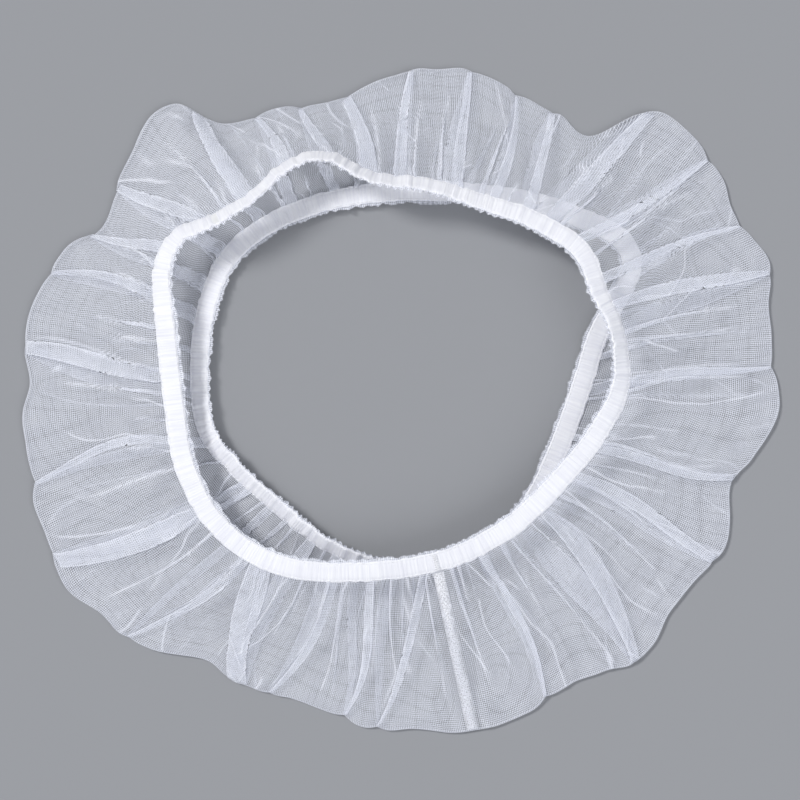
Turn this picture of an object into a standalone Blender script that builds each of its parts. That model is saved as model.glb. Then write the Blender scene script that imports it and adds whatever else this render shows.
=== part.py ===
"""Sheer net veil sleeve with two elastic bands, lying flat on a table.

The sleeve is one tube of net. A flat elastic gathers each of its two ends inside a folded casing.
Laid down, the tube folds outwards: its lower half lies on the table, it turns back at a lobed outer
fold, and its upper half rises to the second band. Metres, +Z up, origin on the table at the middle.
"""

import math

import bmesh
import bpy
import numpy as np

MM = 0.001

# How finely the sleeve is modelled: stations round it, a whole number of degrees apart.
STATIONS = 90
STEPS_PER_SPAN = 12

# The elastic, and the casing folded round it.
ELASTIC_WIDTH = 12 * MM
ELASTIC_THICKNESS = 0.8 * MM
CASING_WALL = 0.5 * MM
CLEARANCE = 0.3 * MM
HEM_TAIL = 3.0 * MM  # casing beyond the elastic, where the hem is sewn to the net

# The net and how it enters the casing's two lips.
NET_THICKNESS = 0.6 * MM
NET_TUCK = 1.5 * MM
NET_EXIT = 2.5 * MM
NET_FLOOR_HEIGHT = 0.45 * MM  # the middle of the lower layer, where it lies on the table

# Thread.
THREAD_RADIUS = 0.3 * MM
THREAD_SIDES = 3
STITCH_INSET = 1.3 * MM  # from the casing's edges to the two rows of stitching

# The outer fold, as (inset from the outline, height) from the lower layer to the upper one.
FOLD_ROLL = [
    (7.0 * MM, 0.6 * MM),
    (1.4 * MM, 1.4 * MM),
    (0.3 * MM, 3.2 * MM),
    (1.6 * MM, 5.2 * MM),
    (9.0 * MM, 6.8 * MM),
]
LOWER_LAYER_STOPS = [0.35, 0.7]  # shares of the way from the band to the fold
UPPER_LAYER_STOPS = [0.25, 0.5, 0.75]  # shares of the way from the fold to the band
UPPER_LAYER_EASE = 1.35  # above 1, the layer stays low near the fold and steepens near the band

# The side seam: its compass angle, and the overlocked strip inside the sleeve.
SEAM_ANGLE = math.radians(-77.5)
SEAM_WIDTH = 8 * MM
SEAM_THICKNESS = 0.5 * MM
SEAM_GAP = 0.9 * MM  # from the net, which curves a little across the strip's width
SEAM_END_GAP = 6 * MM  # from the casing to the strip's end
OVERLOCK_TURNS = 32
OVERLOCK_RADIUS = 0.25 * MM
OVERLOCK_SIDES = 4
OVERLOCK_LIFT = SEAM_THICKNESS / 2 + CLEARANCE + OVERLOCK_RADIUS

# The bar tacks that close each casing at the seam: along the band, across it, thick.
TACK_SIZE = (4 * MM, 11 * MM, 0.5 * MM)

# Band routes seen from above: x, y, height of the band's outer edge, lean in degrees.
# A band lies flat at lean 0; leaning, its inner edge stands up.
TOP_BAND_ROUTE = [
    (0.032, -0.125, 0.026, 12),
    (0.083, -0.101, 0.026, 5),
    (0.123, -0.064, 0.026, 5),
    (0.153, -0.027, 0.026, 10),
    (0.172, 0.012, 0.027, 25),
    (0.169, 0.053, 0.028, 40),
    (0.156, 0.083, 0.028, 30),
    (0.141, 0.117, 0.027, 20),
    (0.104, 0.141, 0.026, 25),
    (0.061, 0.156, 0.026, 35),
    (0.020, 0.168, 0.027, 45),
    (-0.020, 0.173, 0.028, 52),
    (-0.060, 0.190, 0.029, 56),
    (-0.090, 0.181, 0.029, 56),
    (-0.117, 0.157, 0.028, 54),
    (-0.147, 0.140, 0.027, 48),
    (-0.174, 0.127, 0.026, 36),
    (-0.186, 0.100, 0.025, 24),
    (-0.183, 0.055, 0.025, 10),
    (-0.177, 0.000, 0.025, 2),
    (-0.168, -0.052, 0.025, 0),
    (-0.142, -0.098, 0.025, 0),
    (-0.094, -0.129, 0.025, 8),
    (-0.031, -0.134, 0.026, 15),
]
# The lower band rests on the table, so its height follows from its lean.
BOTTOM_BAND_ROUTE = [
    (0.024, -0.129, 50),
    (0.064, -0.114, 42),
    (0.096, -0.091, 25),
    (0.116, -0.060, 8),
    (0.133, -0.020, 0),
    (0.147, 0.020, 0),
    (0.157, 0.052, 6),
    (0.172, 0.080, 8),
    (0.184, 0.106, 6),
    (0.176, 0.128, 0),
    (0.145, 0.144, 0),
    (0.105, 0.157, 0),
    (0.048, 0.165, 0),
    (-0.010, 0.165, 10),
    (-0.060, 0.157, 14),
    (-0.105, 0.139, 14),
    (-0.138, 0.110, 14),
    (-0.154, 0.070, 16),
    (-0.159, 0.025, 20),
    (-0.154, -0.022, 30),
    (-0.132, -0.052, 40),
    (-0.096, -0.085, 44),
    (-0.056, -0.115, 48),
    (-0.015, -0.130, 52),
]
# The sleeve's outer fold on the table: x, y. The net's gathers push it out into lobes.
FOLD_OUTLINE = [
    (0.060, -0.2656),
    (0.020, -0.264),
    (-0.030, -0.259),
    (-0.080, -0.242),
    (-0.134, -0.224),
    (-0.158, -0.209),
    (-0.205, -0.198),
    (-0.252, -0.162),
    (-0.273, -0.137),
    (-0.291, -0.085),
    (-0.300, -0.025),
    (-0.298, 0.015),
    (-0.3018, 0.045),
    (-0.293, 0.080),
    (-0.268, 0.119),
    (-0.240, 0.139),
    (-0.227, 0.170),
    (-0.206, 0.213),
    (-0.181, 0.238),
    (-0.141, 0.222),
    (-0.100, 0.231),
    (-0.053, 0.240),
    (-0.018, 0.257),
    (0.030, 0.2656),
    (0.070, 0.260),
    (0.105, 0.237),
    (0.128, 0.230),
    (0.152, 0.211),
    (0.200, 0.231),
    (0.240, 0.203),
    (0.257, 0.178),
    (0.265, 0.154),
    (0.280, 0.132),
    (0.297, 0.105),
    (0.294, 0.060),
    (0.300, 0.015),
    (0.301, -0.014),
    (0.281, -0.046),
    (0.266, -0.066),
    (0.262, -0.112),
    (0.235, -0.146),
    (0.213, -0.172),
    (0.190, -0.211),
    (0.157, -0.217),
    (0.107, -0.247),
]

CASING_INNER = -ELASTIC_WIDTH / 2 - CLEARANCE - CASING_WALL
CASING_OUTER = ELASTIC_WIDTH / 2 + CLEARANCE + HEM_TAIL
SLOT_HALF = ELASTIC_THICKNESS / 2 + CLEARANCE
CASING_HALF = SLOT_HALF + CASING_WALL
STITCH_HEIGHT = CASING_HALF + CLEARANCE + THREAD_RADIUS
UP = np.array([0.0, 0.0, 1.0])


def clear_scene():
    for obj in list(bpy.data.objects):
        bpy.data.objects.remove(obj)


def make_material(name, colour, roughness):
    material = bpy.data.materials.new(name)
    material.use_nodes = True
    shader = material.node_tree.nodes["Principled BSDF"]
    shader.inputs["Base Color"].default_value = (*colour, 1.0)
    shader.inputs["Roughness"].default_value = roughness
    shader.inputs["Metallic"].default_value = 0.0
    return material


def rounded_loop(route):
    """Rows of a smooth closed run through the route's rows (Catmull-Rom)."""
    rows = np.array(route)
    before = np.roll(rows, 1, axis=0)[:, None]
    after = np.roll(rows, -1, axis=0)[:, None]
    beyond = np.roll(rows, -2, axis=0)[:, None]
    here = rows[:, None]
    share = np.linspace(0, 1, STEPS_PER_SPAN, endpoint=False)[None, :, None]
    slope = (after - before) / 2
    next_slope = (beyond - here) / 2
    curve = (
        here * (2 * share**3 - 3 * share**2 + 1)
        + slope * (share**3 - 2 * share**2 + share)
        + after * (3 * share**2 - 2 * share**3)
        + next_slope * (share**3 - share**2)
    )
    return curve.reshape(-1, rows.shape[1])


def station_angles():
    return SEAM_ANGLE + np.arange(STATIONS) * 2 * math.pi / STATIONS


def read_at_stations(route):
    """The route's rows where the smooth loop crosses each station's compass angle."""
    loop = rounded_loop(route)
    own_angles = np.arctan2(loop[:, 1], loop[:, 0])
    angles = station_angles()
    radius = np.interp(angles, own_angles, np.hypot(loop[:, 0], loop[:, 1]), period=2 * math.pi)
    others = [
        np.interp(angles, own_angles, column, period=2 * math.pi) for column in loop[:, 2:].T
    ]
    return np.column_stack([radius * np.cos(angles), radius * np.sin(angles), *others])


def unit(vectors):
    return vectors / np.linalg.norm(vectors, axis=-1, keepdims=True)


class Band:
    """A band's centreline, its width direction (inner to outer edge) and its upward face normal."""

    def __init__(self, places, edge_heights, leans):
        flat = np.column_stack([places, np.zeros(STATIONS)])
        along = unit(np.roll(flat, -1, axis=0) - np.roll(flat, 1, axis=0))
        outward = np.cross(along, UP)
        sine = np.sin(leans)[:, None]
        self.width = outward * np.cos(leans)[:, None] - UP * sine
        self.normal = np.cross(self.width, along)
        self.along = along
        self.centre = flat + UP * (edge_heights[:, None] + CASING_OUTER * sine)

    def points(self, across, height):
        """Where (across, height) of the band's section lies at every station."""
        return self.centre + self.width * across + self.normal * height

    def section(self, outline):
        return np.stack([self.points(across, height) for across, height in outline], axis=1)


def top_band():
    rows = read_at_stations(TOP_BAND_ROUTE)
    return Band(rows[:, :2], rows[:, 2], np.radians(rows[:, 3]))


def bottom_band():
    rows = read_at_stations(BOTTOM_BAND_ROUTE)
    leans = np.radians(np.maximum(rows[:, 2], 0))
    edge_heights = CASING_HALF * np.cos(leans) + NET_EXIT * np.sin(leans)
    return Band(rows[:, :2], edge_heights, leans)


def add_object(name, points, faces, material, parent=None):
    """A closed mesh object from grid points and the faces between them."""
    mesh = bpy.data.meshes.new(name)
    shape = bmesh.new()
    corners = [shape.verts.new(point) for point in points]
    for face in faces:
        shape.faces.new([corners[index] for index in face])
    bmesh.ops.recalc_face_normals(shape, faces=shape.faces)
    if shape.calc_volume(signed=True) < 0:
        bmesh.ops.reverse_faces(shape, faces=shape.faces)
    shape.to_mesh(mesh)
    shape.free()
    mesh.materials.append(material)
    mesh.shade_smooth()
    mesh.set_sharp_from_angle(angle=math.radians(40))
    obj = bpy.data.objects.new(name, mesh)
    bpy.context.scene.collection.objects.link(obj)
    obj.parent = parent
    return obj


def side_faces(points, this_row, next_row, corners):
    """Triangles between two sections, each quad cut from its inner corner to the outer corner ahead.

    Neighbouring pieces then twist alike along a leaning band, and the gap between them stays even.
    """
    reach = np.hypot(points[:, 0], points[:, 1])
    faces = []
    for corner in range(corners):
        other = (corner + 1) % corners
        here, beside = this_row + corner, this_row + other
        ahead, ahead_beside = next_row + corner, next_row + other
        if reach[beside] > reach[here]:
            faces += [(here, beside, ahead_beside), (here, ahead_beside, ahead)]
        else:
            faces += [(here, beside, ahead), (beside, ahead_beside, ahead)]
    return faces


def add_ring(name, sections, material, parent):
    """Sweeps a section round the sleeve: sections[station, corner] are points."""
    stations, corners = sections.shape[:2]
    points = sections.reshape(-1, 3)
    faces = []
    for station in range(stations):
        next_station = (station + 1) % stations
        faces += side_faces(points, station * corners, next_station * corners, corners)
    return add_object(name, points, faces, material, parent)


def add_strand(name, sections, material, parent):
    """Sweeps a section along an open run and closes both ends."""
    stations, corners = sections.shape[:2]
    points = sections.reshape(-1, 3)
    faces = [tuple(range(corners)), tuple(range((stations - 1) * corners, stations * corners))]
    for station in range(stations - 1):
        faces += side_faces(points, station * corners, (station + 1) * corners, corners)
    return add_object(name, points, faces, material, parent)


def rectangle(width, height):
    return [
        (-width / 2, -height / 2),
        (width / 2, -height / 2),
        (width / 2, height / 2),
        (-width / 2, height / 2),
    ]


def polygon(radius, sides):
    angles = [2 * math.pi * side / sides for side in range(sides)]
    return [(radius * math.cos(angle), radius * math.sin(angle)) for angle in angles]


def casing_outline():
    """A fold round the elastic, open along its outer edge where the net goes in."""
    return [
        (CASING_INNER, -CASING_HALF),
        (CASING_OUTER, -CASING_HALF),
        (CASING_OUTER, -SLOT_HALF),
        (CASING_INNER + CASING_WALL, -SLOT_HALF),
        (CASING_INNER + CASING_WALL, SLOT_HALF),
        (CASING_OUTER, SLOT_HALF),
        (CASING_OUTER, CASING_HALF),
        (CASING_INNER, CASING_HALF),
    ]


def stitch_outline(across):
    return [(across + x, STITCH_HEIGHT + y) for x, y in polygon(THREAD_RADIUS, THREAD_SIDES)]


def add_seam_tack(name, band, material, parent):
    """A bar of thread across the casing's upper face at the seam, which is station 0."""
    length, width, thickness = TACK_SIZE
    low = CASING_HALF + CLEARANCE
    middle = (CASING_INNER + CASING_OUTER) / 2
    corners = []
    for height in (low, low + thickness):
        for along, across in rectangle(length, width):
            place = band.centre[0] + band.width[0] * (middle + across) + band.normal[0] * height
            corners.append(place + band.along[0] * along)
    faces = [(0, 1, 2, 3), (4, 5, 6, 7)]
    faces += [(side, (side + 1) % 4, (side + 1) % 4 + 4, side + 4) for side in range(4)]
    return add_object(name, corners, faces, material, parent)


def add_band(side, band, materials, parent):
    """The casing, its elastic, two rows of stitching and the tack at the seam."""
    add_ring(f"{side}_casing", band.section(casing_outline()), materials["casing"], parent)
    elastic = band.section(rectangle(ELASTIC_WIDTH, ELASTIC_THICKNESS))
    add_ring(f"{side}_elastic", elastic, materials["elastic"], parent)
    hem_row = stitch_outline(CASING_OUTER - STITCH_INSET)
    add_ring(f"{side}_hem_stitch", band.section(hem_row), materials["thread"], parent)
    edge_row = stitch_outline(CASING_INNER + STITCH_INSET)
    add_ring(f"{side}_edge_stitch", band.section(edge_row), materials["thread"], parent)
    add_seam_tack(f"{side}_seam_tack", band, materials["thread"], parent)


def net_middle(top, bottom):
    """The middle of the net's thickness at every station, from the bottom band to the top band."""
    angles = station_angles()
    outline = read_at_stations(FOLD_OUTLINE)
    reach = np.hypot(outline[:, 0], outline[:, 1])
    radial = np.column_stack([np.cos(angles), np.sin(angles), np.zeros(STATIONS)])

    roll = [radial * (reach - inset)[:, None] + UP * height for inset, height in FOLD_ROLL]
    lower_start = bottom.points(CASING_OUTER + NET_EXIT, 0)
    upper_end = top.points(CASING_OUTER + NET_EXIT, 0)

    lower = []
    for share in LOWER_LAYER_STOPS:
        point = lower_start * (1 - share) + roll[0] * share
        point[:, 2] = NET_FLOOR_HEIGHT
        lower.append(point)
    upper = []
    for share in UPPER_LAYER_STOPS:
        point = roll[-1] * (1 - share) + upper_end * share
        rise = upper_end[:, 2] - roll[-1][:, 2]
        point[:, 2] = roll[-1][:, 2] + rise * share**UPPER_LAYER_EASE
        upper.append(point)

    tucked_lower = bottom.points(CASING_OUTER - NET_TUCK, 0)
    tucked_upper = top.points(CASING_OUTER - NET_TUCK, 0)
    runs = [tucked_lower, lower_start, *lower, *roll, *upper, upper_end, tucked_upper]
    return np.stack(runs, axis=1)


def inward_normals(middle, top, bottom):
    """Unit vectors into the pocket between the two layers, at every point of net_middle."""
    angles = station_angles()
    around = np.column_stack([-np.sin(angles), np.cos(angles), np.zeros(STATIONS)])
    ahead = np.gradient(middle, axis=1)
    normals = unit(np.cross(ahead, around[:, None]))
    normals[:, :2] = bottom.normal[:, None]
    normals[:, -2:] = -top.normal[:, None]
    return normals


def add_net(middle, normals, material, parent):
    outer = middle - normals * NET_THICKNESS / 2
    inner = middle + normals * NET_THICKNESS / 2
    sections = np.concatenate([outer, inner[:, ::-1]], axis=1)
    return add_ring("net_sleeve", sections, material, parent)


def seam_run(middle, normals):
    """The seam's route inside the pocket, with its normals and the direction round the sleeve."""
    offset = NET_THICKNESS / 2 + SEAM_GAP + SEAM_THICKNESS / 2
    first, last = 1, middle.shape[1] - 1
    route = (middle + normals * offset)[0, first:last]
    facing = normals[0, first:last].copy()
    start_ahead = unit(route[1] - route[0])
    end_ahead = unit(route[-1] - route[-2])
    route[0] += start_ahead * SEAM_END_GAP
    route[-1] -= end_ahead * SEAM_END_GAP
    around = np.array([-math.sin(SEAM_ANGLE), math.cos(SEAM_ANGLE), 0.0])
    facing = unit(facing - (facing @ around)[:, None] * around)
    return route, facing, around


def add_side_seam(route, facing, around, material, parent):
    outline = rectangle(SEAM_WIDTH, SEAM_THICKNESS)
    corners = [route + around * across + facing * height for across, height in outline]
    return add_strand("side_seam", np.stack(corners, axis=1), material, parent)


def add_overlock(route, facing, around, material, parent):
    """The overlock thread: a zigzag over the seam strip's inner face."""
    steps = np.linalg.norm(np.diff(route, axis=0), axis=1)
    travelled = np.concatenate([[0], np.cumsum(steps)])
    stops = np.linspace(0, travelled[-1], OVERLOCK_TURNS * 2)
    places = np.column_stack([np.interp(stops, travelled, column) for column in route.T])
    lifts = unit(np.column_stack([np.interp(stops, travelled, column) for column in facing.T]))
    swing = SEAM_WIDTH / 2 - OVERLOCK_RADIUS
    sides = np.where(np.arange(len(stops)) % 2 == 0, swing, -swing)[:, None]
    places = places + lifts * OVERLOCK_LIFT + around * sides
    ahead = unit(np.gradient(route, axis=0))
    forward = unit(np.column_stack([np.interp(stops, travelled, column) for column in ahead.T]))
    outline = polygon(OVERLOCK_RADIUS, OVERLOCK_SIDES)
    corners = [places + forward * x + lifts * y for x, y in outline]
    return add_strand("side_seam_overlock", np.stack(corners, axis=1), material, parent)


def make_materials():
    return {
        "net": make_material("nylon_net", (0.72, 0.73, 0.80), 0.6),
        "casing": make_material("gathered_casing", (0.88, 0.88, 0.91), 0.75),
        "elastic": make_material("woven_elastic", (0.90, 0.90, 0.90), 0.8),
        "thread": make_material("sewing_thread", (0.93, 0.93, 0.94), 0.5),
    }


def main():
    clear_scene()
    materials = make_materials()
    top_frame = bpy.data.objects.new("top_band_lift", None)
    bpy.context.scene.collection.objects.link(top_frame)

    top = top_band()
    bottom = bottom_band()
    add_band("top", top, materials, top_frame)
    add_band("bottom", bottom, materials, None)

    middle = net_middle(top, bottom)
    normals = inward_normals(middle, top, bottom)
    add_net(middle, normals, materials["net"], None)
    route, facing, around = seam_run(middle, normals)
    add_side_seam(route, facing, around, materials["casing"], None)
    add_overlock(route, facing, around, materials["thread"], None)


main()
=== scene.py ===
"""The looks of the net veil sleeve: gathered net, ribbed bands, stitching and the overlocked seam."""

import math

import bpy
import numpy as np
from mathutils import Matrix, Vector
from numpy.random import default_rng


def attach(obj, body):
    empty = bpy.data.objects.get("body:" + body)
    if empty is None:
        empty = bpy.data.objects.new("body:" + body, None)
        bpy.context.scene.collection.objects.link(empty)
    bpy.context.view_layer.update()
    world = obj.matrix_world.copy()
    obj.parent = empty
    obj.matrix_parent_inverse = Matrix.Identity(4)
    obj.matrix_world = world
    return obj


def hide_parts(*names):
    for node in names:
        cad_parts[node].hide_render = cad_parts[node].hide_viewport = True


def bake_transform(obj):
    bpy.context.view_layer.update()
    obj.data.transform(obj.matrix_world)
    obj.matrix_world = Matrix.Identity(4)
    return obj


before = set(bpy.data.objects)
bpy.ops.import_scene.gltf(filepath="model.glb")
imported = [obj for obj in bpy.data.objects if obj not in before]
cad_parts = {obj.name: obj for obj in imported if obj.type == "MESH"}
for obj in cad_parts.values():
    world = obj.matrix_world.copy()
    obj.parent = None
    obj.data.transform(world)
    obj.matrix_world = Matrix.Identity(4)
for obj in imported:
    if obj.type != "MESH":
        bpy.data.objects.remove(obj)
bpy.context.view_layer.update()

MM = 0.001
UP = np.array([0.0, 0.0, 1.0])
TURN = 2 * math.pi

# The cloth as cut: round the sleeve, and its clear depth between the hems.
NET_GIRTH = 2.2
NET_DEPTH = 0.27

# The bands, as part.py makes them.
CASING_INNER = -6.8 * MM
CASING_OUTER = 9.3 * MM
CASING_HALF = 1.2 * MM
NET_EXIT = 2.5 * MM
SEAM_ANGLE = math.radians(-77.5)

CRUMPLED_LEAN = math.radians(55)  # a band that leans this much is crumpled as well
CRUMPLE_HEIGHT = 0.8 * MM
CRUMPLE_LENGTH = 5 * MM

# How finely things are made.
BAND_STATIONS = 2200
NET_COLUMNS = 1480
HALF_ROWS = 34
FINE_COLUMNS = 12000
STEPS_PER_SPAN = 60
STATION_ANGLES = SEAM_ANGLE + np.arange(BAND_STATIONS) * TURN / BAND_STATIONS

# Band routes seen from above, repeated from part.py: x, y, height of the outer edge, lean in degrees.
TOP_BAND_ROUTE = [
    (0.032, -0.125, 0.026, 12),
    (0.083, -0.101, 0.026, 5),
    (0.123, -0.064, 0.026, 5),
    (0.153, -0.027, 0.026, 10),
    (0.172, 0.012, 0.027, 25),
    (0.169, 0.053, 0.028, 40),
    (0.156, 0.083, 0.028, 30),
    (0.141, 0.117, 0.027, 20),
    (0.104, 0.141, 0.026, 25),
    (0.061, 0.156, 0.026, 35),
    (0.020, 0.168, 0.027, 45),
    (-0.020, 0.173, 0.028, 52),
    (-0.060, 0.190, 0.029, 56),
    (-0.090, 0.181, 0.029, 56),
    (-0.117, 0.157, 0.028, 54),
    (-0.147, 0.140, 0.027, 48),
    (-0.174, 0.127, 0.026, 36),
    (-0.186, 0.100, 0.025, 24),
    (-0.183, 0.055, 0.025, 10),
    (-0.177, 0.000, 0.025, 2),
    (-0.168, -0.052, 0.025, 0),
    (-0.142, -0.098, 0.025, 0),
    (-0.094, -0.129, 0.025, 8),
    (-0.031, -0.134, 0.026, 15),
]
# The lower band's route: x, y, lean in degrees. Its height follows from its lean.
BOTTOM_BAND_ROUTE = [
    (0.024, -0.129, 50),
    (0.064, -0.114, 42),
    (0.096, -0.091, 25),
    (0.116, -0.060, 8),
    (0.133, -0.020, 0),
    (0.147, 0.020, 0),
    (0.157, 0.052, 6),
    (0.172, 0.080, 8),
    (0.184, 0.106, 6),
    (0.176, 0.128, 0),
    (0.145, 0.144, 0),
    (0.105, 0.157, 0),
    (0.048, 0.165, 0),
    (-0.010, 0.165, 10),
    (-0.060, 0.157, 14),
    (-0.105, 0.139, 14),
    (-0.138, 0.110, 14),
    (-0.154, 0.070, 16),
    (-0.159, 0.025, 20),
    (-0.154, -0.022, 30),
    (-0.132, -0.052, 40),
    (-0.096, -0.085, 44),
    (-0.056, -0.115, 48),
    (-0.015, -0.130, 52),
]
# The sleeve's outer fold on the table: x, y.
FOLD_OUTLINE = [
    (0.060, -0.2656), (0.020, -0.264), (-0.030, -0.259), (-0.080, -0.242), (-0.134, -0.224),
    (-0.158, -0.209), (-0.205, -0.198), (-0.252, -0.162), (-0.273, -0.137), (-0.291, -0.085),
    (-0.300, -0.025), (-0.298, 0.015), (-0.3018, 0.045), (-0.293, 0.080), (-0.268, 0.119),
    (-0.240, 0.139), (-0.227, 0.170), (-0.206, 0.213), (-0.181, 0.238), (-0.141, 0.222),
    (-0.100, 0.231), (-0.053, 0.240), (-0.018, 0.257), (0.030, 0.2656), (0.070, 0.260),
    (0.105, 0.237), (0.128, 0.230), (0.152, 0.211), (0.200, 0.231), (0.240, 0.203),
    (0.257, 0.178), (0.265, 0.154), (0.280, 0.132), (0.297, 0.105), (0.294, 0.060),
    (0.300, 0.015), (0.301, -0.014), (0.281, -0.046), (0.266, -0.066), (0.262, -0.112),
    (0.235, -0.146), (0.213, -0.172), (0.190, -0.211), (0.157, -0.217), (0.107, -0.247),
]

# Flat pleats that run from band to band over the fold: compass angles in degrees at the upper band,
# the fold and the lower band; depths in millimetres at the same three places, and how much deeper
# the pleat is half way; which way it lies; and how far it bows sideways in millimetres.
THROUGH_PLEATS = [
    (-82, -94, -92, 12, 4, 10, 2, 1, -6),
    (-99, -100, -104, 10, 4, 8, 3, -1, 8),
    (-110, -114, -112, 11, 5, 12, 2, 1, 9),
    (-130, -120, -122, 24, 22, 12, 4, -1, -4),
    (-134, -139, -140, 9, 4, 10, 2, 1, 3),
    (-151, -155, -150, 15, 16, 14, 4, -1, 3),
    (-170, -167, -168, 9, 4, 11, 2, 1, -8),
    (174, 172, 178, 15, 13, 9, 4, -1, 3),
    (157, 160, 158, 12, 5, 14, 0, 1, -5),
    (147, 152, 149, 11, 4, 10, 2, -1, 4),
    (138, 143, 140, 14, 8, 12, 2, 1, 5),
    (127, 125, 128, 18, 8, 9, 2, -1, 3),
    (116, 117, 119, 13, 5, 12, 1, 1, -4),
    (106, 109, 107, 12, 5, 9, 2, -1, 3),
    (98, 100, 97, 19, 9, 12, 2, 1, -3),
    (90, 88, 88, 14, 6, 10, 1, -1, 3),
    (75, 78, 77, 14, 5, 12, 1, 1, 4),
    (65, 69, 66, 11, 4, 8, 2, -1, -3),
    (56, 62, 58, 13, 7, 12, 1, 1, 3),
    (50, 49, 52, 15, 10, 9, 4, -1, 3),
    (42, 38, 40, 9, 4, 14, 2, 1, -4),
    (31, 27, 29, 9, 3, 10, 2, -1, 5),
    (24, 19, 18, 8, 4, 9, 9, 1, 3),
    (4, 5, 3, 11, 3, 12, 1, -1, 6),
    (-14, -13, -12, 11, 7, 8, 1, 1, -4),
    (-24, -27, -27, 15, 10, 12, 1, -1, 4),
    (-38, -48, -46, 13, 11, 9, 14, 1, 6),
    (-62, -64, -62, 8, 4, 12, 2, -1, 6),
]
# The short pleats, which run out on their way to the fold.
UPPER_PLEATS = 58
LOWER_PLEATS = 54
SHORT_SPREAD = 0.38  # how far each may stand from its even place, as a share of their spacing
SHORT_SIZES = (1.5, 7)  # in millimetres, before they are fitted to the net that has to fold away
SHORT_ENDS = [0.25, 0.5, 0.75, 0.93]  # shares of the way to the fold
SHORT_END_SPREAD = 0.06
SHORT_TAPER = 0.8  # less than 1 keeps a pleat deep until near its end
SLANT = 0.011  # how far one may run sideways, as a share of the way round
SHORT_BOW = 0.5  # how far one may bow, as a share of its slant
PLEAT_ROOM = 0.003  # the least share of the way round from a short pleat to a through one
SEAM_ROOM = 0.012  # the same from any pleat to the seam
FITTING_ROUNDS = 6
# How every pleat turns and lies.
FLAT_PLEAT = 2.0 * MM  # a pleat shallower than this doesn't fold right over
TURN_SOFTNESS = 0.55 * MM  # how gently the net turns back at a pleat's edge
SHARPEST_TURN = 0.25 * MM
TURN_PARTS = 6  # a small pleat turns as tightly as its depth over this
CREASE_WIDTH = 0.65 * MM  # of the denser line along a pleat's edge
TURN_DENSITY = 3.5  # how much closer the mesh's columns stand there
SETTLE_RUN = 8 * MM  # how far past a pleat the net takes to lie down again
LAYER_STEP = 0.5 * MM  # from one layer of net up to the next
PRESSED_LAYERS = 0.3  # how much of that step is left where the hem holds the net
# Ripples that stand up beside the hems.
RIPPLES = 118
RIPPLE_VARIETY = 0.4  # how much wider or narrower than usual a ripple may be
RIPPLE_DRIFT = 35 * MM
RIPPLE_SHARE = 0.18  # of the gathering at a band that stands up in ripples
RIPPLE_REACH = 14 * MM
RIPPLE_START = 8 * MM  # from the hem to where the net lies free of its grip
PRESSED_RIPPLES = 0.12  # the share of their height that the hem leaves them
LOWER_RIPPLES = 0.5  # the lower layer's ripples are pressed to this share by what lies on them
# The sleeve's lie between the bands, the outer fold and the table.
FOLD_RADIUS = 1.3 * MM
FOLD_ROUNDING = 1.3  # over how many radii the upper layer turns into the lower one
FOLD_TOP = 4.2 * MM  # how high the upper layer lies at the fold
UPPER_SAG = 1.3  # 1 would be a straight slope from the band to the fold
LOWER_DROP = 0.12  # share of the way to the fold in which the lower layer comes down to the table
FLOOR_GAP = 0.5 * MM
LEAST_GAP = 0.35 * MM  # no part of the net comes nearer the table
HEM_GRIP = 2.0 * MM  # how far the net reaches into the hem
LOBE_WANDER = 2.4 * MM  # how far the outer fold strays from its smooth outline
LOBE_LENGTH = 26 * MM
LOBE_NOTCH = 1.4 * MM  # how far a pleat's edge draws it in
LOBE_ROUNDING = 8 * MM
# The slow sideways drift of the pleats: one bow and one curl from each band to the fold.
SWAY = 4 * MM
BOW_ANGLE = 0.55  # radians round the sleeve in which the bow changes
CURL_ANGLE = 0.4
CURL_SHARE = 0.7
SEAM_CALM = 0.12  # radians beside the seam in which the drift dies away
USUAL_RUN = 0.12  # metres from a band to the fold at which the pleats drift as far as they may
# How the mesh's rows crowd: how much closer, and over what share of the way.
ROWS_AT_BAND = (3.0, 0.07)
ROWS_AT_FOLD = (7.0, 0.02)
ROW_STEPS = 2000
# Soft creases follow the zero lines of a smooth random field over the cloth.
FIELD_CELL = 34 * MM  # round the sleeve
FIELD_ROWS = 4  # cells down the sleeve
FIELD_LEAN = 0.55  # how far they lean at most: 1 would be 45 degrees
FIELD_LEAN_LENGTH = 0.12  # metres round the sleeve over which the lean changes
FIELD_DETAIL = 0.25  # share of a second field with cells half as large
FIELD_STEP = 1.0 * MM  # over which its slopes are read
FIELD_STEEP = 22.0  # slope per metre, round less down, at which a crease is full
SOFT_RIDGE = 0.6 * MM
SOFT_RIDGE_REACH = 0.2  # in the field's own measure
SOFT_SEAM_ROOM = 15 * MM


# ---- shared geometry


def unit(vectors):
    return vectors / np.linalg.norm(vectors, axis=-1, keepdims=True)


def smooth_step(values):
    share = np.clip(values, 0, 1)
    return share * share * (3 - 2 * share)


def running_total(values):
    return np.concatenate([[0], np.cumsum((values[1:] + values[:-1]) / 2)])


def rounded_loop(route):
    """Rows of a smooth closed run through the route's rows (Catmull-Rom)."""
    rows = np.array(route)
    here = rows[:, None]
    after = np.roll(rows, -1, axis=0)[:, None]
    slope = (after - np.roll(rows, 1, axis=0)[:, None]) / 2
    next_slope = np.roll(slope, -1, axis=0)
    share = np.linspace(0, 1, STEPS_PER_SPAN, endpoint=False)[None, :, None]
    curve = (
        here * (2 * share**3 - 3 * share**2 + 1)
        + slope * (share**3 - 2 * share**2 + share)
        + after * (3 * share**2 - 2 * share**3)
        + next_slope * (share**3 - share**2)
    )
    return curve.reshape(-1, rows.shape[1])


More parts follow.
